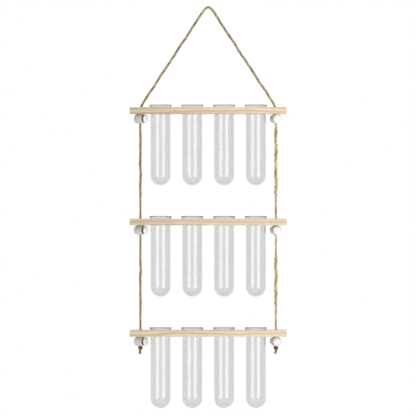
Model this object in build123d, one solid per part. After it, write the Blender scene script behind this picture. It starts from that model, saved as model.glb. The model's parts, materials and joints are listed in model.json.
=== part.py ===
from build123d import *
import os
from math import acos, asin, atan2, cos, degrees, dist, hypot, pi, radians, sin, sqrt, tan

# A hanging test tube vase: three wooden bars on one knotted cord, with four glass tubes in each bar.
# Sizes are in millimetres. The origin is the top of the hook, where it carries the cord. X runs along
# the bars, Y points to the wall behind the vase, and Z points up.

# Glass tubes, which hang by their flared rims
TUBE_DIAMETER = 25.0
TUBE_LENGTH = 100.0
TUBE_WALL = 1.2
FLARE_HEIGHT = 4.5  # from the straight wall's end to the lip
FLARE_OVERHANG = 1.4  # how far the flare stands out from the straight wall
TUBE_SEAT_GAP = 0.3  # height left between a flare and the edge of its hole

# Wooden bars
TUBES_PER_BAR = 4
TUBE_GAP = 14.4  # between the walls of two neighbouring tubes
TUBE_HOLE_CLEARANCE = 0.4  # on the radius
TIER_GAP = 38.0  # from the bottom of one tube to the rim of the one below
BAR_THICKNESS = 8.0
BAR_SIDE_WALL = 6.1  # wood left in front of and behind each tube's hole
BAR_END = 13.0  # from the middle of a cord hole to the end of the bar
BAR_EDGE_RADIUS = 0.8
CORD_HOLE_CLEARANCE = 0.9  # on the radius

# Cord
CORD_DIAMETER = 3.0
HOOK_DIAMETER = 7.0  # the peg or nail that the cord hangs over
HANGER_DROP = 123.0  # from the top of the hook to the top bar's upper face
HOLE_BEND_RISE = 0.5  # how far above the top bar the cord turns
HOLE_BEND_RADIUS = 6.0
HOOK_ARC_SPARE = 0.05  # straight cord left between the hook's two arcs, on each side
KNOT_DIAMETER = 6.6
KNOT_HEIGHT = 3.6
KNOT_EDGE_RADIUS = 1.7
KNOT_GAP = 0.3  # between a knot and the lock above it
TAIL_BEND_RADIUS = 3.0
# The tails below the knots, as steps across and down from the middle of each knot
LEFT_TAIL = [(-0.6, -6.8)]
RIGHT_TAIL = [(0.7, -2.9), (-0.8, -5.3), (-0.6, -6.6)]

# Spring cord locks, which grip the cord under each end of a bar
PINCH_CLEARANCE = 0.15  # on each side of the gripped cord, along the plunger
SLOT_SIDE_CLEARANCE = 0.4  # on each side of the cord, across the plunger
STEM_SIDE_WALL = 2.5  # beside the slot in the plunger's stem
STEM_END_WALL = 0.8  # between the slot and the spring
STEM_CLEARANCE = 0.2  # on the radius, between the stem and its bore
PLUNGER_TRAVEL = 2.2
HEAD_STOP_GAP = 0.3  # left under the head when it is pressed right in
HEAD_THICKNESS = 2.4
HEAD_OVERHANG = 0.85  # how far the head stands out from the stem
HEAD_FACE_RADIUS = 1.2
HEAD_BACK_RADIUS = 0.5
LOCK_WALL = 1.35
LOCK_END_WALL = 0.9
LOCK_MOUTH_WALL = 2.2  # from the cord hole to the open end
LOCK_HOLE_CLEARANCE = 0.75  # on the radius of the cord hole through the body
LOCK_BORE_RADIUS = 1.8  # round the closed end of the bore
LOCK_MOUTH_RADIUS = 0.4
LOCK_SEAT_GAP = 0.15  # between a lock and the bar that rests on it
LOCK_TO_TUBE = 2.2  # between a lock's head and the nearest tube
LEFT_LOCK_TURN = 60.0  # degrees that the left heads turn from the front towards the tubes
RIGHT_LOCK_TURN = 20.0  # degrees that the right heads turn from the back towards the tubes

# Lock springs
SPRING_LENGTH = 3.8  # from the end of the bore to the stem, with the cord gripped
SPRING_WIRE = 0.3
SPRING_TURNS = 3.5
SPRING_END_GAP = 0.05
SPRING_SIDE_CLEARANCE = 0.1  # to the round end of the bore

# Tubes and bars, worked out
tube_radius = TUBE_DIAMETER / 2
tube_hole_radius = tube_radius + TUBE_HOLE_CLEARANCE
tube_pitch = TUBE_DIAMETER + TUBE_GAP
tube_places = [(i - (TUBES_PER_BAR - 1) / 2) * tube_pitch for i in range(TUBES_PER_BAR)]
bar_depth = 2 * (tube_hole_radius + BAR_SIDE_WALL)
tier_pitch = TUBE_LENGTH + TIER_GAP
tier_tops = {name: -HANGER_DROP - i * tier_pitch for i, name in enumerate(("top", "middle", "bottom"))}

# Locks, worked out along the plunger from the middle of the cord
cord_radius = CORD_DIAMETER / 2
pinch = cord_radius + PINCH_CLEARANCE
slot_width = CORD_DIAMETER + 2 * SLOT_SIDE_CLEARANCE
stem_radius = slot_width / 2 + STEM_SIDE_WALL
stem_end = -pinch - STEM_END_WALL
bore_radius = stem_radius + STEM_CLEARANCE
bore_end = stem_end - SPRING_LENGTH
lock_radius = bore_radius + LOCK_WALL
lock_end = bore_end - LOCK_END_WALL
lock_mouth = pinch + LOCK_MOUTH_WALL
lock_hole_radius = cord_radius + LOCK_HOLE_CLEARANCE
head_radius = stem_radius + HEAD_OVERHANG
head_start = lock_mouth + PLUNGER_TRAVEL + HEAD_STOP_GAP
head_end = head_start + HEAD_THICKNESS
lock_drop = BAR_THICKNESS + LOCK_SEAT_GAP + lock_radius
lock_turns = {"left": LEFT_LOCK_TURN - 90, "right": RIGHT_LOCK_TURN + 90}


def reach_across(turn):
    """How far a lock turned by this many degrees reaches from its cord towards the tubes."""
    return head_end * sin(radians(turn)) + head_radius * cos(radians(turn))


# Cord holes and bar length, worked out
lock_reach = max(reach_across(LEFT_LOCK_TURN), reach_across(RIGHT_LOCK_TURN))
cord_place = tube_places[-1] + tube_radius + LOCK_TO_TUBE + lock_reach
cord_places = {"left": -cord_place, "right": cord_place}
bar_length = 2 * (cord_place + BAR_END)


def glass_tube(x, bar_top):
    """A round-bottomed tube hanging in a bar by its flared rim, with a rounded lip."""
    flare_radius = (FLARE_HEIGHT**2 + FLARE_OVERHANG**2) / (2 * FLARE_OVERHANG)
    lip_angle = asin(FLARE_HEIGHT / flare_radius)
    seat_angle = acos(1 - TUBE_HOLE_CLEARANCE / flare_radius)
    flare_base = bar_top + TUBE_SEAT_GAP - flare_radius * sin(seat_angle)
    lip_radius = TUBE_WALL / 2
    lip_middle = flare_base + (flare_radius + lip_radius) * sin(lip_angle)
    bottom = lip_middle + lip_radius - TUBE_LENGTH
    dome_middle = bottom + tube_radius
    inner_radius = tube_radius - TUBE_WALL

    def on_flare(depth, angle, beyond=0):
        """A point on the flare, depth inside its outer face and beyond the given angle."""
        out = flare_radius + depth
        across = tube_radius + flare_radius - out * cos(angle) + beyond * sin(angle)
        return (across, 0, flare_base + out * sin(angle) + beyond * cos(angle))

    def on_dome(radius):
        """The point halfway round the bottom's quarter circle."""
        return (radius * sin(pi / 4), 0, dome_middle - radius * cos(pi / 4))

    outline = Wire(
        [
            ThreePointArc((0, 0, bottom), on_dome(tube_radius), (tube_radius, 0, dome_middle)),
            Line((tube_radius, 0, dome_middle), on_flare(0, 0)),
            ThreePointArc(on_flare(0, 0), on_flare(0, lip_angle / 2), on_flare(0, lip_angle)),
            ThreePointArc(
                on_flare(0, lip_angle),
                on_flare(lip_radius, lip_angle, beyond=lip_radius),
                on_flare(TUBE_WALL, lip_angle),
            ),
            ThreePointArc(
                on_flare(TUBE_WALL, lip_angle),
                on_flare(TUBE_WALL, lip_angle / 2),
                on_flare(TUBE_WALL, 0),
            ),
            Line(on_flare(TUBE_WALL, 0), (inner_radius, 0, dome_middle)),
            ThreePointArc(
                (inner_radius, 0, dome_middle), on_dome(inner_radius), (0, 0, bottom + TUBE_WALL)
            ),
            Line((0, 0, bottom + TUBE_WALL), (0, 0, bottom)),
        ]
    )
    return Pos(x, 0, 0) * revolve(Face(outline), axis=Axis.Z)


def wooden_bar(top):
    """A bar with eased edges, drilled for its tubes and for the cord."""
    middle = top - BAR_THICKNESS / 2
    bar = Pos(0, 0, middle) * Box(bar_length, bar_depth, BAR_THICKNESS)
    bar = fillet(bar.edges(), BAR_EDGE_RADIUS)
    for x in tube_places:
        bar -= Pos(x, 0, middle) * Cylinder(tube_hole_radius, 2 * BAR_THICKNESS)
    for x in cord_places.values():
        bar -= Pos(x, 0, middle) * Cylinder(cord_radius + CORD_HOLE_CLEARANCE, 2 * BAR_THICKNESS)
    return bar


def rod_along_x(radius, start, end):
    """A round rod on the X axis."""
    rod = Cylinder(radius, end - start, align=(Align.CENTER, Align.CENTER, Align.MIN))
    return Pos(start, 0, 0) * Rot(0, 90, 0) * rod


def ring_edges(shape):
    """The round edges of a turned shape on the X axis, from its low end to its high end."""
    return shape.edges().filter_by(GeomType.CIRCLE).sort_by(Axis.X)


def lock_body():
    """A round-ended barrel, open at +X for the plunger, with a hole across it for the cord."""
    barrel = rod_along_x(lock_radius, lock_end, lock_mouth)
    barrel = fillet(ring_edges(barrel)[0], LOCK_BORE_RADIUS + LOCK_WALL)
    barrel = fillet(ring_edges(barrel)[-1], LOCK_MOUTH_RADIUS)
    bore = rod_along_x(bore_radius, bore_end, lock_mouth)
    bore = fillet(ring_edges(bore)[0], LOCK_BORE_RADIUS)
    cord_hole = Pos(pinch - lock_hole_radius, 0, 0) * Cylinder(lock_hole_radius, 4 * lock_radius)
    return barrel - bore - cord_hole


def lock_plunger():
    """A stem with a slot for the cord, and a round head to press."""
    head = rod_along_x(head_radius, head_start, head_end)
    head = fillet(ring_edges(head)[-1], HEAD_FACE_RADIUS)
    head = fillet(ring_edges(head)[0], HEAD_BACK_RADIUS)
    plunger = head + rod_along_x(stem_radius, stem_end, head_start)
    slot_length = 2 * pinch + PLUNGER_TRAVEL
    slot = extrude(SlotOverall(slot_length, slot_width), amount=2 * stem_radius, both=True)
    return plunger - Pos(PLUNGER_TRAVEL / 2, 0, 0) * slot


def biarc(start, start_way, end, end_way):
    """Two arcs from start to end that meet each other and both given directions tangentially."""
    chord = end - start
    ways = start_way + end_way
    square = 2 * (1 - start_way.dot(end_way))
    cross = chord.dot(ways)
    reach = (sqrt(cross**2 + square * chord.dot(chord)) - cross) / square
    first = start + start_way * reach
    second = end - end_way * reach
    middle = (first + second) * 0.5
    return [
        TangentArc(start, middle, tangent=start_way),
        TangentArc(middle, end, tangent=second - first),
    ]


def lock_spring():
    """A coil spring on the X axis, between the closed end of the bore and the plunger's stem."""
    end_room = SPRING_WIRE / 2 + SPRING_END_GAP
    start = bore_end + end_room
    coil_length = SPRING_LENGTH - 2 * end_room
    coil_radius = bore_radius - LOCK_BORE_RADIUS - SPRING_SIDE_CLEARANCE - SPRING_WIRE / 2
    pitch = coil_length / SPRING_TURNS

    def at(turn):
        """The wire's middle after so many turns."""
        angle = 2 * pi * turn
        return Vector(start + pitch * turn, coil_radius * cos(angle), coil_radius * sin(angle))

    def way(turn):
        """The wire's direction after so many turns."""
        angle = 2 * pi * turn
        around = 2 * pi * coil_radius
        return Vector(pitch, -around * sin(angle), around * cos(angle)).normalized()

    stops = [i / 2 for i in range(round(2 * SPRING_TURNS) + 1)]
    arcs = []
    for low, high in zip(stops, stops[1:]):
        arcs += biarc(at(low), way(low), at(high), way(high))
    section = Plane(origin=at(0), z_dir=way(0)) * Circle(SPRING_WIRE / 2)

    samples_per_turn = 60
    samples = [tuple(at(i / samples_per_turn)) for i in range(round(stops[-1] * samples_per_turn) + 1)]
    half_turn = samples_per_turn // 2
    nearest = min(dist(p, q) for i, p in enumerate(samples) for q in samples[i + half_turn :])
    print(f"spring: coil radius {coil_radius:.2f}, least gap to itself {nearest - SPRING_WIRE:.2f}")
    return sweep(section, path=Wire(arcs))


def knot(x, z):
    """The lump of one overhand knot."""
    lump = Cylinder(KNOT_DIAMETER / 2, KNOT_HEIGHT)
    lump = fillet(lump.edges().filter_by(GeomType.CIRCLE), KNOT_EDGE_RADIUS)
    return Pos(x, 0, z) * lump


def hanging_cord():
    """The whole cord, from tail to tail, with its two knots."""
    knot_height = tier_tops["bottom"] - lock_drop - lock_radius - KNOT_GAP - KNOT_HEIGHT / 2
    bend_height = tier_tops["top"] + HOLE_BEND_RISE
    hook_arc_radius = HOOK_DIAMETER / 2 + cord_radius

    # Each leg of the upside-down V leaves the hook's arc as a tangent.
    rise = -HOOK_DIAMETER / 2 - bend_height
    lean = atan2(cord_place, rise) - asin(hook_arc_radius / hypot(cord_place, rise))
    hook_corner = hook_arc_radius * tan((pi / 2 - lean) / 2) + HOOK_ARC_SPARE

    left_tail = [(-cord_place + x, 0, knot_height + z) for x, z in reversed(LEFT_TAIL)]
    right_tail = [(cord_place + x, 0, knot_height + z) for x, z in RIGHT_TAIL]
    route = [
        *left_tail,
        (-cord_place, 0, knot_height),
        (-cord_place, 0, bend_height),
        (-hook_corner, 0, cord_radius),
        (hook_corner, 0, cord_radius),
        (cord_place, 0, bend_height),
        (cord_place, 0, knot_height),
        *right_tail,
    ]
    radii = [
        *[TAIL_BEND_RADIUS] * len(LEFT_TAIL),
        HOLE_BEND_RADIUS,
        hook_arc_radius,
        hook_arc_radius,
        HOLE_BEND_RADIUS,
        *[TAIL_BEND_RADIUS] * len(RIGHT_TAIL),
    ]
    path = FilletPolyline(*route, radius=radii)
    section = Plane(origin=path @ 0, z_dir=path % 0) * Circle(cord_radius)
    cord = sweep(section, path=path)
    expected = pi * cord_radius**2 * path.length
    print(f"cord: length {path.length:.1f}, legs lean {degrees(lean):.1f} degrees, radii {radii}")
    print(f"cord: volume {cord.volume:.1f}, section times length {expected:.1f}")
    for x in cord_places.values():
        cord += knot(x, knot_height)
    return cord


def all_parts():
    """Every piece, by the name of its node."""
    parts = {"hanging_cord": hanging_cord()}
    body = lock_body()
    plunger = lock_plunger()
    spring = lock_spring()
    for tier, top in tier_tops.items():
        parts[f"{tier}_bar"] = wooden_bar(top)
        for number, x in enumerate(tube_places, start=1):
            parts[f"{tier}_tube_{number}"] = glass_tube(x, top)
        for side, x in cord_places.items():
            place = Pos(x, 0, top - lock_drop) * Rot(0, 0, lock_turns[side])
            parts[f"{tier}_{side}_lock_body"] = place * body
            parts[f"{tier}_{side}_lock_plunger"] = place * plunger
            parts[f"{tier}_{side}_lock_spring"] = place * spring
    return parts


os.makedirs("parts", exist_ok=True)
for node, shape in all_parts().items():
    export_step(shape, f"parts/{node}.step")
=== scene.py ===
import bmesh
import bpy
import json
import numpy as np
from math import asin, cos, pi, radians, sin, sqrt, tau
from mathutils import Matrix, Vector
from random import Random


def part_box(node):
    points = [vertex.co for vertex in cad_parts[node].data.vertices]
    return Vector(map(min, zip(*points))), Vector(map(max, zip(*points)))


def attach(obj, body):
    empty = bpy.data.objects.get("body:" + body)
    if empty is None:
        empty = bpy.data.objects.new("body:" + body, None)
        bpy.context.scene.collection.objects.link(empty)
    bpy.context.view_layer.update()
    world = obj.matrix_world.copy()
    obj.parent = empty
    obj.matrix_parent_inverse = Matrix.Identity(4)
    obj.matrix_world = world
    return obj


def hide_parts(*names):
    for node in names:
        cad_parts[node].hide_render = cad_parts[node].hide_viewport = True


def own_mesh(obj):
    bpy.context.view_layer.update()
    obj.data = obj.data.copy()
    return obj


# A hanging test tube vase: pine bars on a twisted jute cord, with glass tubes and white cord locks.
# Everything is in metres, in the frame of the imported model: X along the bars, Y to the wall, Z up.
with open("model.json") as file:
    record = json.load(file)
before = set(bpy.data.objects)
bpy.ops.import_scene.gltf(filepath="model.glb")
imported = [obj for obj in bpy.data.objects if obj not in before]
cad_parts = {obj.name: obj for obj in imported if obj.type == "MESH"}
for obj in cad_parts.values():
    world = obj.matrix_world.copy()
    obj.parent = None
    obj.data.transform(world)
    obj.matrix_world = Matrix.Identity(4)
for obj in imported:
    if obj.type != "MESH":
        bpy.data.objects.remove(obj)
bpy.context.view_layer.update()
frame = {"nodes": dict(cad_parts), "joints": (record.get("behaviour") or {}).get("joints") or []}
MM = 0.001
WHITE = (1, 1, 1)
TIERS = ("top", "middle", "bottom")
SIDES = {"left": -1, "right": 1}  # with the sign of X there
TUBES = (1, 2, 3, 4)

# Camera: a level view from the front, through a long lens
IMAGE_PIXELS = 416
METRES_PER_PIXEL = 0.00124
CAMERA_DISTANCE = 6.0
CAMERA_MIDDLE = (-0.00025, -0.2477)  # the point across and up that the picture is centred on
SENSOR_WIDTH = 36.0  # in millimetres, as the lens is

# Cord route, with its points as in the part
CORD_DIAMETER = 3.0 * MM
CORD_LENGTH = 912 * MM
CORD_PLACE = 84.0 * MM  # from the middle of the vase to the uprights
KNOT_HEIGHT = -421.15 * MM
BEND_HEIGHT = -122.5 * MM  # where the sloping legs turn into the uprights
HOOK_CORNER = 2.75 * MM  # the route's corners on both sides of the hook
HOOK_TOP = 1.5 * MM
LEG_DROP = 15 * MM  # to a point on each leg beside the hook and one beside the top bar
SIDE_DROP = 15 * MM  # to a point on each upright below its bend and one above its knot
LEFT_TAIL = [(-0.6 * MM, -6.8 * MM)]  # the tails' points, across and up from their knots
RIGHT_TAIL = [(0.7 * MM, -2.9 * MM), (-0.8 * MM, -5.3 * MM), (-0.6 * MM, -6.6 * MM)]

# Cord make: plies of yarns, twisted; a wave has a size, the run of one radian and, if fixed, a start
CORD_SEED = 3
CORD_PLIES = 3
CORD_LAY = 12.2 * MM  # one turn of the plies
SLACK_LAY = 21.5 * MM  # and on the right, where the cord is slack
LOOSENESS = 0.6  # how much further apart the plies lie there
TWIST_WAVE = (0.6, 17 * MM)  # how the twist runs ahead and lags behind
PLY_SPREAD = 0.72 * MM  # from the middle of the cord to the middle of a ply
PLY_RADIUS = 0.86 * MM
PLY_WAVES = ((0.05, 5.3 * MM), (0.04, 2.1 * MM))  # how uneven a ply's radius is
PLY_SIDES = 28
PLY_BAND = 3  # a ply's fibres have coordinates from -1 to 1 about the ply's own multiple of this
YARNS = 7
YARN_PITCH = 9.0 * MM  # one turn of the yarns in a ply
YARN_RIDGE = 0.08  # how far a yarn stands out, as a share of the ply's radius
ALONG_SCALE = 0.2  # fibres are drawn out along the ply
RING_STEP = 0.7 * MM
FREE_MARGIN = 9 * MM  # the length over which the cord comes free of what slides along it
WOBBLE = 0.32 * MM  # how far the cord wanders where nothing slides along it
WOBBLE_HELD = 0.06 * MM  # and where a bar or lock does
WOBBLE_ACROSS = ((1, 6.1 * MM, 0), (0.7, 3.7 * MM, 1.3))
WOBBLE_UP = ((1, 7.3 * MM, 2.0), (0.7, 4.4 * MM, 0))
WOBBLE_PEAK = 1.7  # the most that each pair of waves adds up to
HELD_SWELL = 0.86  # the cord is drawn a little thinner where a bar or lock slides
TAIL_SWELL = 0.98  # and swells again below the knots
TAIL_SWELL_DROP = 1.0 * MM  # over this length
END_SWELL = 0.2  # what the cut ends swell more
END_SWELL_LENGTH = 3 * MM

# Tubes
TUBE_RADIUS = 12.5 * MM
TUBE_WALL = 1.2 * MM
FLARE_HEIGHT = 4.5 * MM
FLARE_OVERHANG = 1.4 * MM
TUBE_SIDES = 128
OUTER_DOME_STEPS = 28
INNER_DOME_STEPS = 26
FLARE_STEPS = 10
LIP_STEPS = 14
MERGE_DISTANCE = 0.001 * MM

# Locks, along the plunger from the middle of the cord
LOCK_DROP = 14.1 * MM  # from a bar's upper face to the middle of its locks
LOCK_TURN = {"left": radians(-30), "right": radians(110)}  # where the head points, from +X
HEAD_START = 6.35 * MM
SPRING_START = -6.25 * MM
SPRING_END = -2.45 * MM
SPRING_RADIUS = 2.55 * MM
SPRING_WIRE = 0.3 * MM
SPRING_TURNS = 3.5
SPRING_STEPS = 28  # in a turn
SPRING_SIDES = 10


def add_object(name, mesh, material, body, replaced=()):
    """A piece of the vase that rides on a body and takes its finish from a slot."""
    piece = bpy.data.objects.new(name, mesh)
    bpy.context.collection.objects.link(piece)
    if not mesh.materials:
        mesh.materials.append(material)
    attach(piece, body)
    if replaced:
        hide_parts(*replaced)
    return piece


def smooth_mesh(name, vertices, faces):
    """A smooth-shaded mesh."""
    mesh = bpy.data.meshes.new(name)
    mesh.from_pydata([tuple(v) for v in vertices], [], faces)
    mesh.shade_smooth()
    mesh.validate()
    return mesh


# Nodes of materials


def new_material(name):
    """A material with its node tree and its shader."""
    material = bpy.data.materials.new(name)
    material.use_nodes = True
    return material, material.node_tree, material.node_tree.nodes["Principled BSDF"]


def set_inputs(node, values):
    """Constant values on a node's own inputs."""
    for key, value in values.items():
        node.inputs[key].default_value = value


def add_node(tree, kind, links=None, values=None, **settings):
    """A node with its settings, its constant inputs and the outputs that feed it."""
    node = tree.nodes.new(kind)
    for key, value in settings.items():
        setattr(node, key, value)
    set_inputs(node, values or {})
    for key, output in (links or {}).items():
        tree.links.new(output, node.inputs[key])
    return node


def calculate(tree, operation, first, second=0):
    """The output of one sum; each side is a number or another output."""
    node = tree.nodes.new("ShaderNodeMath")
    node.operation = operation
    for place, value in enumerate((first, second)):
        if isinstance(value, (int, float)):
            node.inputs[place].default_value = value
        else:
            tree.links.new(value, node.inputs[place])
    return node.outputs[0]


def vector_node(tree, operation, vector, constant=(0, 0, 0)):
    """One sum of a vector output and a constant vector."""
    return add_node(tree, "ShaderNodeVectorMath", {0: vector}, {1: constant}, operation=operation)


def map_range(tree, value, limits, **settings):
    """A value mapped from one range to another; limits that aren't given are 0 and 1."""
    return add_node(tree, "ShaderNodeMapRange", {"Value": value}, limits, **settings).outputs[0]


def ramp(tree, factor, stops):
    """A colour ramp through (place, colour) stops."""
    node = add_node(tree, "ShaderNodeValToRGB", {"Fac": factor})
    elements = node.color_ramp.elements
    while len(elements) < len(stops):
        elements.new(0.5)  # its real place is set below
    for element, (place, colour) in zip(elements, stops):
        element.position = place
        element.color = (*colour, 1)
    return node.outputs["Color"]


def srgb(red, green, blue):
    """A colour given as it is seen, from 0 to 255, in the renderer's linear values."""
    return tuple(((v / 255 + 0.055) / 1.055) ** 2.4 for v in (red, green, blue))


def stretched_noise(tree, vector, scale, detail=3.0, roughness=0.55):
    """Noise with its own scale along each axis, in features for each unit of the vector."""
    mapped = add_node(tree, "ShaderNodeMapping", {"Vector": vector}, {"Scale": scale})
    values = {"Scale": 1.0, "Detail": detail, "Roughness": roughness}
    noise = add_node(tree, "ShaderNodeTexNoise", {"Vector": mapped.outputs[0]}, values)
    return noise.outputs["Fac"]


MIX_INPUTS = (0, 6, 7)  # the factor and the two colours of a Mix node
MIX_OUTPUT = 2  # and its mixed colour


def mix_colour(tree, factor, first, second, blend="MIX"):
    """Two colours mixed by a factor; each is a colour or another output."""
    node = tree.nodes.new("ShaderNodeMix")
    node.data_type = "RGBA"
    node.blend_type = blend
    for place, value in zip(MIX_INPUTS, (factor, first, second)):
        socket = node.inputs[place]
        if isinstance(value, bpy.types.NodeSocket):
            tree.links.new(value, socket)
        elif isinstance(value, tuple):
            socket.default_value = (*value, 1)
        else:
            socket.default_value = value
    return node.outputs[MIX_OUTPUT]


def tinted(tree, colour, tint):
    """A colour multiplied by a tint."""
    return mix_colour(tree, 1.0, colour, tint, "MULTIPLY")


def add_roughness(tree, shader, value, first, last):
    """A shader's roughness, from the first to the last as a value goes from 0 to 1."""
    varied = map_range(tree, value, {"To Min": first, "To Max": last})
    tree.links.new(varied, shader.inputs["Roughness"])


def add_bump(tree, shader, height, strength, distance):
    """Fine relief from a height."""
    values = {"Strength": strength, "Distance": distance}
    bump = add_node(tree, "ShaderNodeBump", {"Height": height}, values)
    tree.links.new(bump.outputs[0], shader.inputs["Normal"])


def mix_surface(tree, factor, first, second):
    """A material's surface, mixed from two shaders by a factor."""
    mixed = add_node(tree, "ShaderNodeMixShader", {0: factor, 1: first.outputs[0], 2: second.outputs[0]})
    tree.links.new(mixed.outputs[0], tree.nodes["Material Output"].inputs["Surface"])


# Pine; the scales of noise are in features per metre, here and below, but for the jute's fibres

PINE_PALE = srgb(233, 219, 196)
PINE_MIDDLE = srgb(226, 210, 184)
PINE_LATE = srgb(205, 180, 146)
PINE_RINGS = [(0, PINE_PALE), (0.45, PINE_MIDDLE), (0.86, PINE_LATE), (1, PINE_PALE)]
PINE_RING = 3.4 * MM  # from one growth ring to the next
PINE_BEND = 9.0 * MM  # how far the rings bend
PINE_BEND_SCALE = (7, 22, 22)
PINE_FIBRE_SCALE = (45, 1500, 1500)
PINE_STREAKS = [(0.3, (0.84, 0.82, 0.78)), (0.62, WHITE)]
PINE_PATCH_SCALE = (9, 120, 120)
PINE_PATCHES = [(0.35, (0.93, 0.90, 0.85)), (0.65, WHITE)]
PINE_END = srgb(208, 190, 160)
PINE_END_SHARE = 0.45  # how much of the end grain's colour shows on a bar's ends
PINE_END_POWER = 6  # how sharply it stops at their edges
PINE_ROUGHNESS = (0.66, 0.5)  # between the fibres and on them
PINE_SPECULAR = 0.35
PINE_RING_RELIEF = 0.4  # beside the relief of the fibres
PINE_BUMP = (0.25, 0.15 * MM)
# Each bar's pith, behind its middle and up from its top, and the painted light that makes each bar paler
# or darker by how the lamps reach its tier
PINE_PITHS = {"top": (31 * MM, -44 * MM), "middle": (26 * MM, -52 * MM), "bottom": (40 * MM, -40 * MM)}
PINE_PAINTED_LIGHT = {"top": 1.0, "middle": 0.94, "bottom": 1.03}
ACROSS_GRAIN = (0, 1, 1)


def pine(name, pith, shade):
    """Sanded pine with growth rings round a pith line that runs along the bar, outside it; shade is
    painted light that makes the whole bar paler or darker.
    """
    material, tree, shader = new_material(name)
    coordinates = add_node(tree, "ShaderNodeTexCoord")
    place = coordinates.outputs["Object"]
    bend = stretched_noise(tree, place, PINE_BEND_SCALE, detail=2)
    away = vector_node(tree, "SUBTRACT", place, pith).outputs["Vector"]
    across = vector_node(tree, "MULTIPLY", away, ACROSS_GRAIN).outputs["Vector"]
    radius = vector_node(tree, "LENGTH", across).outputs["Value"]
    bent = calculate(tree, "ADD", radius, calculate(tree, "MULTIPLY", bend, PINE_BEND))
    ring = calculate(tree, "FRACT", calculate(tree, "DIVIDE", bent, PINE_RING))
    fibre = stretched_noise(tree, place, PINE_FIBRE_SCALE, detail=4, roughness=0.6)
    patch = stretched_noise(tree, place, PINE_PATCH_SCALE)
    patches = [(at, tuple(shade * channel for channel in tone)) for at, tone in PINE_PATCHES]
    colour = tinted(tree, ramp(tree, ring, PINE_RINGS), ramp(tree, fibre, PINE_STREAKS))
    colour = tinted(tree, colour, ramp(tree, patch, patches))
    facing = add_node(tree, "ShaderNodeSeparateXYZ", {0: coordinates.outputs["Normal"]}).outputs["X"]
    end = calculate(tree, "POWER", calculate(tree, "ABSOLUTE", facing), PINE_END_POWER)
    colour = mix_colour(tree, calculate(tree, "MULTIPLY", end, PINE_END_SHARE), colour, PINE_END)
    tree.links.new(colour, shader.inputs["Base Color"])
    add_roughness(tree, shader, fibre, *PINE_ROUGHNESS)
    set_inputs(shader, {"Specular IOR Level": PINE_SPECULAR})
    relief = calculate(tree, "ADD", fibre, calculate(tree, "MULTIPLY", ring, PINE_RING_RELIEF))
    add_bump(tree, shader, relief, *PINE_BUMP)
    return material


# Glass

GLASS_SHADER = {"Base Color": (0.89, 0.89, 0.89, 1), "Transmission Weight": 1.0, "IOR": 1.5}
GLASS_DRAW_SCALE = (160, 160, 12)
GLASS_ROUGHNESS = (0.0, 0.006)
GLASS_DEPTH = {"Color": (0.42, 0.42, 0.42, 1), "Density": 100.0}
GLASS_CLEAR = (0.9, 0.9, 0.9, 1)  # the share of lamp light that each face lets through


def glass():
    """Clear glass, a little grey in its depth, with a faint draw along the tube; lamp light passes it."""
    material, tree, shader = new_material("clear_glass")
    set_inputs(shader, GLASS_SHADER)
    place = add_node(tree, "ShaderNodeTexCoord").outputs["Object"]
    drawn = stretched_noise(tree, place, GLASS_DRAW_SCALE, detail=1)
    add_roughness(tree, shader, drawn, *GLASS_ROUGHNESS)
    absorption = add_node(tree, "ShaderNodeVolumeAbsorption", values=GLASS_DEPTH)
    shadow = add_node(tree, "ShaderNodeLightPath").outputs["Is Shadow Ray"]
    clear = add_node(tree, "ShaderNodeBsdfTransparent", values={"Color": GLASS_CLEAR})
    mix_surface(tree, shadow, shader, clear)
    tree.links.new(absorption.outputs[0], tree.nodes["Material Output"].inputs["Volume"])
    return material


# Jute, with dark, middle and pale colours; tones are what the colours are multiplied by

CORD_COLOURS = (srgb(135, 114, 72), srgb(212, 197, 145), srgb(249, 236, 188))
# The knots' colours are darker, partly as painted shade in the tight wraps and partly as the knots' own
# brown
KNOT_COLOURS = (srgb(74, 48, 22), srgb(122, 87, 46), srgb(158, 118, 70))
END_COLOURS = (srgb(136, 102, 64), srgb(172, 138, 96), srgb(196, 164, 122))
JUTE_STOPS = (0.32, 0.5, 0.68)
JUTE_FIBRE_SCALE = (420, 2.2, 1)  # in the ply's own fibre coordinates, along it and round it
JUTE_STRETCH_SCALE = (70, 70, 70)
JUTE_FIBRE_SHARE = 0.6
JUTE_STRETCH_SHARE = 0.4
JUTE_SHADER = {
    "Roughness": 0.9,
    "Specular IOR Level": 0.2,
    "Sheen Weight": 0.15,
    "Sheen Roughness": 0.5,
}
JUTE_BUMP = (0.5, 0.15 * MM)

# Tones of the plies, from the first to the last
DARK_PLY = (0.60, 0.58, 0.55)
MIDDLE_PLY = (0.86, 0.85, 0.84)
PLY_TONES = [(0.25, DARK_PLY), (0.375, MIDDLE_PLY), (0.625, MIDDLE_PLY), (0.75, WHITE)]

# Tones along the cord, from the left tail to the right one, by the share of its length: painted light and
# shade that make each stretch darker or paler as the light falls on it
LEFT_SIDE = (0.73, 0.665, 0.475)
LEFT_LEG = (0.77, 0.75, 0.765)
RIGHT_LEG = (0.69, 0.665, 0.68)
PAINTED_LIGHT_ALONG_CORD = [
    (0.006, WHITE),
    (0.010, LEFT_SIDE),
    (0.32, LEFT_SIDE),
    (0.36, LEFT_LEG),
    (0.48, LEFT_LEG),
    (0.52, RIGHT_LEG),
    (0.64, RIGHT_LEG),
    (0.68, WHITE),
]

# Tones from above the knots down to the ends: a painted shadow just below the knots, then the brown stain
# of the tails
SHADOW_AND_STAIN_TOP = KNOT_HEIGHT + 2 * MM
SHADOW_AND_STAIN_LOW = KNOT_HEIGHT - 10 * MM
SHADOW_AND_STAIN_TONES = [(0, WHITE), (0.2, (0.39, 0.27, 0.22)), (0.5, (0.9, 0.57, 0.3)), (0.72, (1, 0.82, 0.68))]


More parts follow.
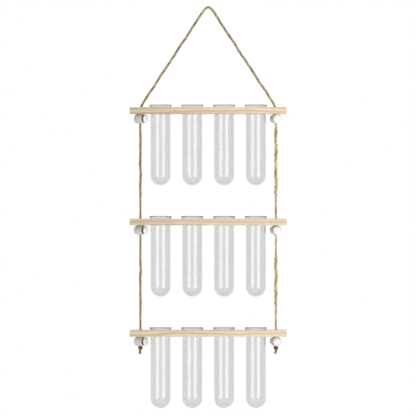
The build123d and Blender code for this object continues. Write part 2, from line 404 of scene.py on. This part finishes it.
def jute(name, colours, cord=False):
    """Jute fibre, streaked along each ply, with darker and paler stretches; the cord has its own tones."""
    material, tree, shader = new_material(name)
    strand = add_node(tree, "ShaderNodeAttribute", attribute_name="strand").outputs["Vector"]
    place = add_node(tree, "ShaderNodeTexCoord").outputs["Object"]
    fibre = stretched_noise(tree, strand, JUTE_FIBRE_SCALE, detail=4, roughness=0.65)
    stretch = stretched_noise(tree, place, JUTE_STRETCH_SCALE, detail=2)
    fine = calculate(tree, "MULTIPLY", fibre, JUTE_FIBRE_SHARE)
    both = calculate(tree, "ADD", fine, calculate(tree, "MULTIPLY", stretch, JUTE_STRETCH_SHARE))
    colour = ramp(tree, both, list(zip(JUTE_STOPS, colours)))
    if cord:
        colour = cord_tones(tree, strand, place, colour)
    tree.links.new(colour, shader.inputs["Base Color"])
    set_inputs(shader, JUTE_SHADER)
    add_bump(tree, shader, fibre, *JUTE_BUMP)
    return material


def cord_tones(tree, strand, place, colour):
    """The cord's colour: its plies differ; painted light and shade make each stretch darker or paler, its
    right side paler; below the knots a painted shadow, then a brown stain on its ends.
    """
    split = add_node(tree, "ShaderNodeSeparateXYZ", {0: strand})
    bands = {"From Min": -1.0, "From Max": PLY_BAND * (CORD_PLIES - 1) + 1.0}
    ply = map_range(tree, split.outputs["Y"], bands)
    colour = tinted(tree, colour, ramp(tree, ply, PLY_TONES))
    # Painted light and shade along the cord, stretch by stretch
    share = calculate(tree, "DIVIDE", split.outputs["X"], CORD_LENGTH * ALONG_SCALE)
    colour = tinted(tree, colour, ramp(tree, share, PAINTED_LIGHT_ALONG_CORD))
    # Painted shadow just below the knots, then the stain of the tails
    height = add_node(tree, "ShaderNodeSeparateXYZ", {0: place}).outputs["Z"]
    down = map_range(tree, height, {"From Min": SHADOW_AND_STAIN_TOP, "From Max": SHADOW_AND_STAIN_LOW})
    return tinted(tree, colour, ramp(tree, down, SHADOW_AND_STAIN_TONES))


# Plastic and steel

BODY_WHITES = (srgb(232, 232, 230), srgb(241, 241, 240))
# Painted light: the plungers are the same plastic as the bodies, made whiter to stand for the light that
# falls on their heads
PLUNGER_PAINTED_LIGHT_WHITES = (srgb(243, 243, 242), srgb(250, 250, 249))
PLASTIC_STOPS = (0.3, 0.7)
PLASTIC_CLOUD_SCALE = (260, 260, 260)
PLASTIC_FINE_SCALE = (2600, 2600, 2600)
PLASTIC_ROUGHNESS = (0.36, 0.48)
PLASTIC_SPECULAR = 0.3
PLASTIC_BUMP = (0.06, 0.05 * MM)
# Painted shade: a plunger's stem is darkened to stand for the shade in the gap between its head and the
# body
STEM_PAINTED_SHADE = srgb(72, 71, 68)
STEM_EDGE = {"From Min": HEAD_START - 0.1 * MM, "From Max": HEAD_START + 0.02 * MM}
STEEL_SCALE = (3000, 3000, 3000)
STEEL_GREYS = [(0.3, (0.50, 0.50, 0.52)), (0.7, (0.66, 0.66, 0.68))]
STEEL_ROUGHNESS = (0.25, 0.42)


def white_plastic(name, whites, stem=None):
    """Moulded white plastic, semi-gloss, with a faint mould texture; a plunger's stem is darkened as
    painted shade.
    """
    material, tree, shader = new_material(name)
    place = add_node(tree, "ShaderNodeTexCoord").outputs["Object"]
    cloud = stretched_noise(tree, place, PLASTIC_CLOUD_SCALE, detail=2)
    colour = ramp(tree, cloud, list(zip(PLASTIC_STOPS, whites)))
    if stem:
        colour = painted_stem_shade(tree, place, colour, *stem)
    tree.links.new(colour, shader.inputs["Base Color"])
    fine = stretched_noise(tree, place, PLASTIC_FINE_SCALE, detail=2)
    add_roughness(tree, shader, cloud, *PLASTIC_ROUGHNESS)
    set_inputs(shader, {"Specular IOR Level": PLASTIC_SPECULAR})
    add_bump(tree, shader, fine, *PLASTIC_BUMP)
    return material


def painted_stem_shade(tree, place, colour, middle, way):
    """A plunger's colour: darkened along the stem up to the head, as painted shade in the gap under the
    head.
    """
    away = vector_node(tree, "SUBTRACT", place, middle).outputs["Vector"]
    along = vector_node(tree, "DOT_PRODUCT", away, way).outputs["Value"]
    head = map_range(tree, along, STEM_EDGE)
    return mix_colour(tree, head, STEM_PAINTED_SHADE, colour)


def spring_steel():
    """Drawn steel wire with fine marks."""
    material, tree, shader = new_material("spring_steel")
    place = add_node(tree, "ShaderNodeTexCoord").outputs["Object"]
    marks = stretched_noise(tree, place, STEEL_SCALE, detail=2)
    tree.links.new(ramp(tree, marks, STEEL_GREYS), shader.inputs["Base Color"])
    add_roughness(tree, shader, marks, *STEEL_ROUGHNESS)
    set_inputs(shader, {"Metallic": 1.0})
    return material


# Tubes along any path

NEARLY_ZERO = 0.1  # a cross product this short has no sure direction
SPLINE_ORDER = 3
SPLINE_STEPS = 48  # between two control points


def cross_frames(points):
    """Two directions square to the path at each of its points, carried along without twist."""
    ways = np.gradient(points, axis=0)
    ways /= np.linalg.norm(ways, axis=1)[:, None]
    first = np.cross(ways[0], (0.0, 1.0, 0.0))
    if np.linalg.norm(first) < NEARLY_ZERO:
        first = np.cross(ways[0], (1.0, 0.0, 0.0))
    across = np.zeros_like(points)
    for i, way in enumerate(ways):
        first = first - way * first.dot(way)
        first /= np.linalg.norm(first)
        across[i] = first
    return across, np.cross(ways, across)


def tube_along(points, radii):
    """Vertices and faces of a closed tube; radii has a row for each point and a column for each side."""
    rings, sides = radii.shape
    across, up = cross_frames(points)
    angles = np.arange(sides) * tau / sides
    out = across[:, None] * np.cos(angles)[None, :, None] + up[:, None] * np.sin(angles)[None, :, None]
    vertices = (points[:, None] + out * radii[:, :, None]).reshape(-1, 3)
    faces = []
    for ring in range(rings - 1):
        low, high = ring * sides, (ring + 1) * sides
        for side in range(sides):
            after = (side + 1) % sides
            faces.append((low + side, low + after, high + after, high + side))
    faces.append(tuple(reversed(range(sides))))
    faces.append(tuple(range((rings - 1) * sides, rings * sides)))
    return vertices, faces


def spline_points(name, controls, step):
    """Evenly spaced points read from a smooth spline with these control points, and the run to each."""
    curve = bpy.data.curves.new(name, "CURVE")
    curve.dimensions = "3D"
    curve.resolution_u = SPLINE_STEPS
    spline = curve.splines.new("NURBS")
    spline.points.add(len(controls) - 1)
    for point, place in zip(spline.points, controls):
        point.co = (*place, 1)
    spline.order_u = SPLINE_ORDER
    spline.use_endpoint_u = True
    holder = bpy.data.objects.new(name, curve)
    bpy.context.collection.objects.link(holder)
    bpy.context.view_layer.update()
    line = bpy.data.meshes.new_from_object(holder)
    read = np.array([v.co for v in line.vertices])
    bpy.data.objects.remove(holder)
    bpy.data.curves.remove(curve)
    bpy.data.meshes.remove(line)
    run = np.concatenate([[0], np.cumsum(np.linalg.norm(np.diff(read, axis=0), axis=1))])
    even = np.linspace(0, run[-1], round(run[-1] / step) + 1)
    return np.column_stack([np.interp(even, run, read[:, axis]) for axis in range(3)]), even


def waves(run, terms):
    """A sum of waves along a run; each has a size, the run of one radian and a start."""
    return sum(size * np.sin(run / radian + start) for size, radian, start in terms)


def twisted_plies(points, run, swell, slack, seed):
    """The plies of a twisted cord along a path, with their yarns as ridges and fibre coordinates."""
    across, up = cross_frames(points)
    draw = Random(seed)
    vertices, faces, strand = [], [], []
    angles = np.arange(PLY_SIDES) * tau / PLY_SIDES
    lay = CORD_LAY + (SLACK_LAY - CORD_LAY) * slack / LOOSENESS
    twist = np.cumsum(np.gradient(run) * tau / lay) + waves(run, [(*TWIST_WAVE, seed)])
    for ply in range(CORD_PLIES):
        turn = twist + ply * tau / CORD_PLIES
        away = PLY_SPREAD * swell * (1 + slack)
        middle = points + across * (np.cos(turn) * away)[:, None] + up * (np.sin(turn) * away)[:, None]
        yarn = angles[None, :] - tau * run[:, None] / YARN_PITCH
        shift = draw.uniform(0, tau)
        uneven = waves(run, [(*wave, count * shift) for count, wave in enumerate(PLY_WAVES, 1)])
        radii = PLY_RADIUS * swell[:, None] * (1 + YARN_RIDGE * np.cos(YARNS * yarn) + uneven[:, None])
        ply_vertices, ply_faces = tube_along(middle, radii)
        start = sum(len(v) for v in vertices)
        vertices.append(ply_vertices)
        faces += [tuple(start + corner for corner in face) for face in ply_faces]
        around = np.cos(yarn) + PLY_BAND * ply
        along = np.repeat(run[:, None], PLY_SIDES, axis=1)
        strand.append(np.dstack([along * ALONG_SCALE, around, np.sin(yarn)]).reshape(-1, 3))
    return np.vstack(vertices), faces, np.vstack(strand)


def cord_mesh(name, points, run, swell, slack, seed):
    """A mesh of twisted plies that carries its fibre coordinates."""
    vertices, faces, strand = twisted_plies(points, run, swell, slack, seed)
    mesh = smooth_mesh(name, vertices, faces)
    attribute = mesh.attributes.new("strand", "FLOAT_VECTOR", "POINT")
    attribute.data.foreach_set("vector", strand.astype(np.float32).ravel())
    return mesh


# Cord


def mirrored(points):
    """The same points on the other side of the vase, in the other order."""
    return [(-x, y, z) for x, y, z in reversed(points)]


def cord_route():
    """The control points of the cord, from the left tail over the hook to the right tail."""
    leg = Vector((HOOK_CORNER - CORD_PLACE, 0, HOOK_TOP - BEND_HEIGHT)).normalized() * LEG_DROP
    right = [
        (HOOK_CORNER, 0, HOOK_TOP),
        (HOOK_CORNER - leg.x, 0, HOOK_TOP - leg.z),
        (CORD_PLACE + leg.x, 0, BEND_HEIGHT + leg.z),
        (CORD_PLACE, 0, BEND_HEIGHT),
        (CORD_PLACE, 0, BEND_HEIGHT - SIDE_DROP),
        (CORD_PLACE, 0, KNOT_HEIGHT + SIDE_DROP),
        (CORD_PLACE, 0, KNOT_HEIGHT),
    ]
    left_tail = [(-CORD_PLACE + across, 0, KNOT_HEIGHT + up) for across, up in LEFT_TAIL]
    right_tail = [(CORD_PLACE + across, 0, KNOT_HEIGHT + up) for across, up in RIGHT_TAIL]
    return left_tail + mirrored(right) + right + right_tail


def slide_range(tier):
    """How far a tier's bar slides down and up the cord."""
    found = [joint["range_m"] for joint in frame["joints"] if joint["name"] == f"{tier}_bar_slide"]
    return found[0] if found else (0, 0)


def freedom(heights):
    """From 0 where a bar or its locks may slide along the cord, and below the knots, to 1 elsewhere."""
    free = np.ones_like(heights)
    for tier in TIERS:
        down, up = slide_range(tier)
        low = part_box(f"{tier}_left_lock_body")[0][2] + down
        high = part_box(f"{tier}_bar")[1][2] + up
        outside = np.maximum(low - heights, heights - high)
        free = np.minimum(free, np.clip(outside / FREE_MARGIN, 0, 1))
    return np.where(heights < KNOT_HEIGHT, 0, free)


def wandering(points, run):
    """The path as the cord really lies, a little kinked where nothing holds it."""
    across, up = cross_frames(points)
    amount = WOBBLE_HELD + (WOBBLE - WOBBLE_HELD) * freedom(points[:, 2])
    one = amount * waves(run, WOBBLE_ACROSS) / WOBBLE_PEAK
    two = amount * waves(run, WOBBLE_UP) / WOBBLE_PEAK
    return points + (across * one[:, None] + up * two[:, None])


def cord_swell(points, run, free):
    """How thick the cord is along its run: thinner where it is held, and swollen at its cut ends."""
    swell = HELD_SWELL + (1 - HELD_SWELL) * free
    below = np.clip((KNOT_HEIGHT - points[:, 2]) / TAIL_SWELL_DROP, 0, 1)
    to_end = np.minimum(run, run[-1] - run)
    swell += (TAIL_SWELL - swell) * below + END_SWELL * np.clip(1 - to_end / END_SWELL_LENGTH, 0, 1)
    return swell


HAIR_STEPS = 5
HAIR_SIDES = 3
HAIR_TAPER = 0.7  # the share of its radius that a hair loses up to its tip


def fibre_tuft(name, roots, tips, bows, radius):
    """A mesh of fine fibres, each a three-sided tapered hair that bows from its root to its tip."""
    vertices, faces = [], []
    share = np.linspace(0, 1, HAIR_STEPS)[:, None]
    taper = np.repeat(radius * (1 - HAIR_TAPER * share), HAIR_SIDES, axis=1)
    bent = share * (1 - share) * 4  # from 0 at the root to 1 half way and 0 at the tip
    for root, tip, bow in zip(roots, tips, bows):
        line = root + (tip - root) * share + bow * bent
        hair, hair_faces = tube_along(line, taper)
        start = len(vertices)
        vertices += list(hair)
        faces += [tuple(start + corner for corner in face) for face in hair_faces]
    return smooth_mesh(name, vertices, faces)


STRAY_SEED = 11
STRAY_FIBRES = 900
STRAY_RADIUS = 0.035 * MM
STRAY_ROOT = 0.8 * MM  # from the middle of the cord
STRAY_STAND = 1.0 * MM  # how far the longest stand off the cord
STRAY_SHARE = (0.36, 1)  # of that, from the shortest to the longest
STRAY_FLAT = -0.12 * MM  # where bars and locks slide past, none stands off
STRAY_REACH = (2, 5)  # how many points of the path a fibre spans, the last not included
STRAY_MARGIN = 20  # points at each end of the path that have none
STRAY_BOW = (-0.1 * MM, 0.25 * MM)


def stray_fibres(points, material):
    """Short fibres that stand off the cord, and lie flat where bars and locks slide past."""
    draw = Random(STRAY_SEED)
    across, up = cross_frames(points)
    free = freedom(points[:, 2])
    roots, tips, bows = [], [], []
    last = len(points) - 1
    for _ in range(STRAY_FIBRES):
        at = draw.randrange(STRAY_MARGIN, last - STRAY_MARGIN)
        angle = draw.uniform(0, tau)
        out = across[at] * cos(angle) + up[at] * sin(angle)
        ahead = points[min(at + draw.choice((-1, 1)) * draw.randrange(*STRAY_REACH), last)]
        stand = STRAY_FLAT + (STRAY_STAND * draw.uniform(*STRAY_SHARE) - STRAY_FLAT) * free[at]
        roots.append(points[at] + out * STRAY_ROOT)
        tips.append(ahead + out * (CORD_DIAMETER / 2 + stand))
        bows.append(out * draw.uniform(*STRAY_BOW) * free[at])
    mesh = fibre_tuft("cord_stray_fibres", roots, tips, bows, STRAY_RADIUS)
    return add_object("cord_stray_fibres", mesh, material, "hanger")


FRAY_SEED = {"left": 21, "right": 22}
FRAY_FIBRES = 110
FRAY_RADIUS = 0.075 * MM
FRAY_BACK = 6  # points from the cut end to the one that gives its direction
FRAY_DEPTH = (0.8 * MM, 2.4 * MM)  # from the cut end back to the roots
FRAY_LENGTH = (0.2 * MM, 1.1 * MM)  # and on to the tips
FRAY_ROOT_SPREAD = 1.35 * MM
FRAY_TIP_SPREAD = (0.5 * MM, 1.2 * MM)  # of every fibre, and what the outermost spread more
FRAY_BOW = (-0.25 * MM, 0.35 * MM)


def frayed_end(side, end, before, material):
    """The loose fibres of a cut end, which spread a little as they leave it."""
    draw = Random(FRAY_SEED[side])
    way = (end - before) / np.linalg.norm(end - before)
    beside = np.cross(way, (0.0, 1.0, 0.0))
    beside /= np.linalg.norm(beside)
    deep = np.cross(way, beside)
    least, more = FRAY_TIP_SPREAD
    roots, tips, bows = [], [], []
    for _ in range(FRAY_FIBRES):
        angle = draw.uniform(0, tau)
        spread = sqrt(draw.random())
        out = beside * cos(angle) + deep * sin(angle)
        length = draw.uniform(*FRAY_LENGTH)
        roots.append(end - way * draw.uniform(*FRAY_DEPTH) + out * spread * FRAY_ROOT_SPREAD)
        tips.append(end + way * length + out * (least + more * spread))
        bows.append(out * draw.uniform(*FRAY_BOW))
    name = f"cord_fray_{side}"
    mesh = fibre_tuft(name, roots, tips, bows, FRAY_RADIUS)
    return add_object(name, mesh, material, "hanger")


KNOT_SEED = {"left": 5, "right": 8}
KNOT_START = {"left": radians(200), "right": radians(320)}  # where the wraps start, from +X
KNOT_TURNS = 1.9
KNOT_STEPS = 16
KNOT_RING_STEP = 0.35 * MM
KNOT_TOP_RADIUS = 2.15 * MM
KNOT_LOW_RADIUS = 0.9 * MM
KNOT_NARROWING = 2  # the powers by which the wraps narrow and sink, slowly at first
KNOT_SINKING = 1.5
KNOT_TOP = 0.75 * MM
KNOT_LOW = -1.2 * MM
KNOT_TILT = 0.3 * MM  # how far a wrap rises and dips on its way round
KNOT_PLY_SCALE = 0.8  # the cord is drawn thin in the knot


def overhand_knot(side, material):
    """The wraps of an overhand knot, drawn tight round the cord."""
    sign = SIDES[side]
    middle = Vector((sign * CORD_PLACE, 0, KNOT_HEIGHT))
    controls = [middle + Vector((0, 0, KNOT_TOP))]
    for i in range(KNOT_STEPS):
        share = i / (KNOT_STEPS - 1)
        angle = KNOT_START[side] + sign * share * KNOT_TURNS * tau
        radius = KNOT_TOP_RADIUS + (KNOT_LOW_RADIUS - KNOT_TOP_RADIUS) * share**KNOT_NARROWING
        lift = KNOT_TOP + (KNOT_LOW - KNOT_TOP) * share**KNOT_SINKING + KNOT_TILT * sin(angle)
        controls.append(middle + Vector((radius * cos(angle), radius * sin(angle), lift)))
    controls.append(middle + Vector((0, 0, KNOT_LOW)))
    points, run = spline_points(f"knot_{side}_line", controls, KNOT_RING_STEP)
    swell = np.full(len(run), KNOT_PLY_SCALE)
    slack = np.zeros(len(run))
    mesh = cord_mesh(f"cord_knot_{side}", points, run, swell, slack, KNOT_SEED[side])
    return add_object(f"cord_knot_{side}", mesh, material, "hanger")


def hanging_cord():
    """The cord with its knots, frayed ends and stray fibres."""
    cord_jute = jute("jute", CORD_COLOURS, cord=True)
    knot_jute = jute("jute_knots", KNOT_COLOURS)
    end_jute = jute("jute_ends", END_COLOURS)
    points, run = spline_points("cord_line", cord_route(), RING_STEP)
    lie = wandering(points, run)
    free = freedom(points[:, 2])
    right_side = (points[:, 0] > 0) & (points[:, 2] < BEND_HEIGHT)
    slack = LOOSENESS * free * right_side
    mesh = cord_mesh("hanging_cord_plies", lie, run, cord_swell(points, run, free), slack, CORD_SEED)
    cord = add_object("hanging_cord_plies", mesh, cord_jute, "hanger", ["hanging_cord"])
    pieces = [
        overhand_knot("left", knot_jute),
        overhand_knot("right", knot_jute),
        frayed_end("left", lie[0], lie[FRAY_BACK], end_jute),
        frayed_end("right", lie[-1], lie[-1 - FRAY_BACK], end_jute),
        stray_fibres(lie, cord_jute),
    ]


# Tubes


def arc(middle, radius, start, end, steps):
    """Points (across, up) along an arc, from one angle to another."""
    turns = [start + (end - start) * i / steps for i in range(steps + 1)]
    return [(middle[0] + radius * cos(t), middle[1] + radius * sin(t)) for t in turns]


def tube_outline(length):
    """Half the section of a tube from its outer to its inner bottom, with heights from the lip's top."""
    flare_radius = (FLARE_HEIGHT**2 + FLARE_OVERHANG**2) / (2 * FLARE_OVERHANG)
    lip_angle = asin(FLARE_HEIGHT / flare_radius)
    lip_radius = TUBE_WALL / 2
    lip_out = flare_radius + lip_radius
    flare = (TUBE_RADIUS + flare_radius, -lip_radius - lip_out * sin(lip_angle))
    lip = (flare[0] - lip_out * cos(lip_angle), flare[1] + lip_out * sin(lip_angle))
    dome = (0, TUBE_RADIUS - length)
    outer = arc(dome, TUBE_RADIUS, -pi / 2, 0, OUTER_DOME_STEPS)
    outer += arc(flare, flare_radius, pi, pi - lip_angle, FLARE_STEPS)
    rounded = arc(lip, lip_radius, -lip_angle, pi - lip_angle, LIP_STEPS)[1:-1]
    inner = arc(flare, flare_radius + TUBE_WALL, pi - lip_angle, pi, FLARE_STEPS)
    inner += arc(dome, TUBE_RADIUS - TUBE_WALL, 0, -pi / 2, INNER_DOME_STEPS)
    return outer + rounded + inner


def tube_mesh(length):
    """A glass tube turned from its outline, with the top of its lip at the origin."""
    work = bmesh.new()
    outline = [work.verts.new((across, 0, up)) for across, up in tube_outline(length)]
    edges = [work.edges.new(pair) for pair in zip(outline, outline[1:])]
    bmesh.ops.spin(
        work, geom=outline + edges, axis=(0, 0, 1), cent=(0, 0, 0), angle=tau, steps=TUBE_SIDES
    )
    bmesh.ops.remove_doubles(work, verts=work.verts, dist=MERGE_DISTANCE)
    bmesh.ops.recalc_face_normals(work, faces=work.faces)
    mesh = bpy.data.meshes.new("glass_tube")
    work.to_mesh(mesh)
    work.free()
    mesh.shade_smooth()
    return mesh


def glass_tubes():
    """Twelve tubes of one mesh, each hung where its CAD node is."""
    material = glass()
    low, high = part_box("top_tube_1")
    mesh = tube_mesh(high[2] - low[2])
    for tier in TIERS:
        for number in TUBES:
            node = f"{tier}_tube_{number}"
            low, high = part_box(node)
            tube = add_object(f"{node}_glass", mesh, material, node, [node])
            tube.location = ((low[0] + high[0]) / 2, (low[1] + high[1]) / 2, high[2])


# Bars, locks and springs


def dress_node(node, material):
    """A CAD node's own mesh with a better material."""
    mesh = frame["nodes"][node].data
    mesh.materials.clear()
    mesh.materials.append(material)


def wooden_bars():
    """Each bar with its own grain, and painted light that makes it paler or darker."""
    for tier in TIERS:
        deep, up = PINE_PITHS[tier]
        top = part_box(f"{tier}_bar")[1][2]
        dress_node(f"{tier}_bar", pine(f"pine_{tier}", (0, deep, top + up), PINE_PAINTED_LIGHT[tier]))


def spring_mesh(name, place):
    """A lock's coil spring, in its place."""
    share = np.linspace(0, 1, round(SPRING_TURNS * SPRING_STEPS) + 1)
    angle = share * SPRING_TURNS * tau
    wire_radius = SPRING_WIRE / 2
    along = SPRING_START + wire_radius + share * (SPRING_END - SPRING_START - SPRING_WIRE)
    line = np.column_stack([along, SPRING_RADIUS * np.cos(angle), SPRING_RADIUS * np.sin(angle)])
    line = np.array([place @ Vector(p) for p in line])
    vertices, faces = tube_along(line, np.full((len(line), SPRING_SIDES), wire_radius))
    return smooth_mesh(name, vertices, faces)


def cord_locks():
    """White bodies and plungers, and the springs between them."""
    plastic = white_plastic("white_plastic", BODY_WHITES)
    steel = spring_steel()
    plungers = {}
    for side, sign in SIDES.items():
        way = (cos(LOCK_TURN[side]), sin(LOCK_TURN[side]), 0)
        stem = ((sign * CORD_PLACE, 0, 0), way)
        plungers[side] = white_plastic(f"white_plastic_plunger_{side}", PLUNGER_PAINTED_LIGHT_WHITES, stem)
    for tier in TIERS:
        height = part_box(f"{tier}_bar")[1][2] - LOCK_DROP
        for side, sign in SIDES.items():
            name = f"{tier}_{side}_lock"
            dress_node(f"{name}_body", plastic)
            dress_node(f"{name}_plunger", plungers[side])
            turn = Matrix.Rotation(LOCK_TURN[side], 4, "Z")
            place = Matrix.Translation((sign * CORD_PLACE, 0, height)) @ turn
            body = "hanger" if tier == "top" else name
            node = f"{name}_spring"
            mesh = spring_mesh(f"{node}_coil", place)
            coil = add_object(f"{node}_coil", mesh, steel, body, [node])
            way = turn.to_3x3() @ Vector((1, 0, 0))
            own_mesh(coil)


# Studio

FILL = 0.22  # the white room's light on the vase
FLOOR_HEIGHT = -0.56
FLOOR_RADIUS = 0.8
FLOOR_SIDES = 96
FLOOR_SHADER = {"Base Color": (0.9, 0.9, 0.89, 1), "Roughness": 0.8}
FLOOR_WHITE = 0.65  # how white the floor's middle looks by itself; its shading is the rest
FLOOR_FADE_START = 0.2  # from here it turns whiter, away from its middle
FLOOR_FADE_END = 0.95 * FLOOR_RADIUS
LAMP_AIM = Vector((0, 0, -0.29))


def seen_directly(tree):
    """1 where a surface is seen, also in a mirror or through glass, and 0 where it only gives light."""
    path = add_node(tree, "ShaderNodeLightPath")
    seen = calculate(tree, "MAXIMUM", path.outputs["Is Camera Ray"], path.outputs["Is Glossy Ray"])
    return calculate(tree, "MAXIMUM", seen, path.outputs["Is Transmission Ray"])


def white_room():
    """A white surround, at full strength where it is seen and weaker as light."""
    world = bpy.data.worlds.new("white_room")
    bpy.context.scene.world = world
    world.use_nodes = True
    tree = world.node_tree
    strength = map_range(tree, seen_directly(tree), {"To Min": FILL, "To Max": 1.0})
    background = tree.nodes["Background"]
    set_inputs(background, {"Color": (*WHITE, 1)})
    tree.links.new(strength, background.inputs["Strength"])


def floor():
    """A pale floor below the vase, which takes its shadow and fades into the white surround."""
    material, tree, shader = new_material("floor")
    set_inputs(shader, FLOOR_SHADER)
    place = add_node(tree, "ShaderNodeTexCoord").outputs["Object"]
    away = vector_node(tree, "LENGTH", place).outputs["Value"]
    limits = {"From Min": FLOOR_FADE_START, "From Max": FLOOR_FADE_END, "To Min": FLOOR_WHITE}
    fade = map_range(tree, away, limits, interpolation_type="SMOOTHSTEP")
    share = calculate(tree, "MULTIPLY", fade, seen_directly(tree))
    white = add_node(tree, "ShaderNodeEmission", values={"Color": (*WHITE, 1), "Strength": 1.0})
    mix_surface(tree, share, shader, white)
    bpy.ops.mesh.primitive_circle_add(
        vertices=FLOOR_SIDES, radius=FLOOR_RADIUS, fill_type="NGON", location=(0, 0, FLOOR_HEIGHT)
    )
    disc = bpy.context.object
    disc.name = "studio_floor"
    disc.data.materials.append(material)


def softbox(name, azimuth, elevation, distance, size, radiance):
    """A rectangular lamp turned to the vase, from an azimuth that grows to the right of the camera."""
    width, height = size
    light = bpy.data.lights.new(name, "AREA")
    light.shape = "RECTANGLE"
    light.size = width
    light.size_y = height
    light.energy = radiance * pi * width * height
    lamp = bpy.data.objects.new(name, light)
    bpy.context.collection.objects.link(lamp)
    turn, rise = radians(azimuth), radians(elevation)
    away = Vector((sin(turn) * cos(rise), -cos(turn) * cos(rise), sin(rise)))
    lamp.location = LAMP_AIM + away * distance
    lamp.rotation_euler = away.to_track_quat("Z", "Y").to_euler()
    lamp.visible_camera = False
    return lamp


def studio_lights():
    """Two boxes in front, seen only in reflections as stripes on the glass, and four that only light."""
    left = softbox("left_box", azimuth=-37, elevation=0, distance=1.3, size=(0.82, 0.70), radiance=5.0)
    right = softbox("right_box", azimuth=33, elevation=0, distance=1.1, size=(0.67, 0.70), radiance=5.5)
    side = softbox("side_box", azimuth=33, elevation=0, distance=1.1, size=(0.67, 0.70), radiance=3.0)
    back = softbox("back_box", azimuth=180, elevation=22, distance=1.2, size=(0.9, 0.6), radiance=6.0)
    above = softbox("top_box", azimuth=0, elevation=90, distance=0.9, size=(0.7, 0.5), radiance=2.5)
    key = softbox("key_box", azimuth=30, elevation=14, distance=0.48, size=(0.3, 0.7), radiance=2.6)
    for lamp in (left, right):
        lamp.visible_diffuse = False
    for lamp in (side, back, above, key):
        lamp.visible_glossy = False
    for lamp in (left, right, side, back, above, key):
        lamp.visible_transmission = False


def camera():
    """The photograph's view: level, from straight in front."""
    data = bpy.data.cameras.new("camera")
    data.sensor_width = SENSOR_WIDTH
    data.lens = SENSOR_WIDTH * CAMERA_DISTANCE / (IMAGE_PIXELS * METRES_PER_PIXEL)
    view = bpy.data.objects.new("camera", data)
    bpy.context.collection.objects.link(view)
    across, up = CAMERA_MIDDLE
    view.location = (across, -CAMERA_DISTANCE, up)
    view.rotation_euler = (pi / 2, 0, 0)
    bpy.context.scene.camera = view


camera()
hanging_cord()
glass_tubes()
wooden_bars()
cord_locks()
white_room()
floor()
studio_lights()
bpy.context.scene.view_settings.view_transform = "Standard"

bpy.context.view_layer.update()
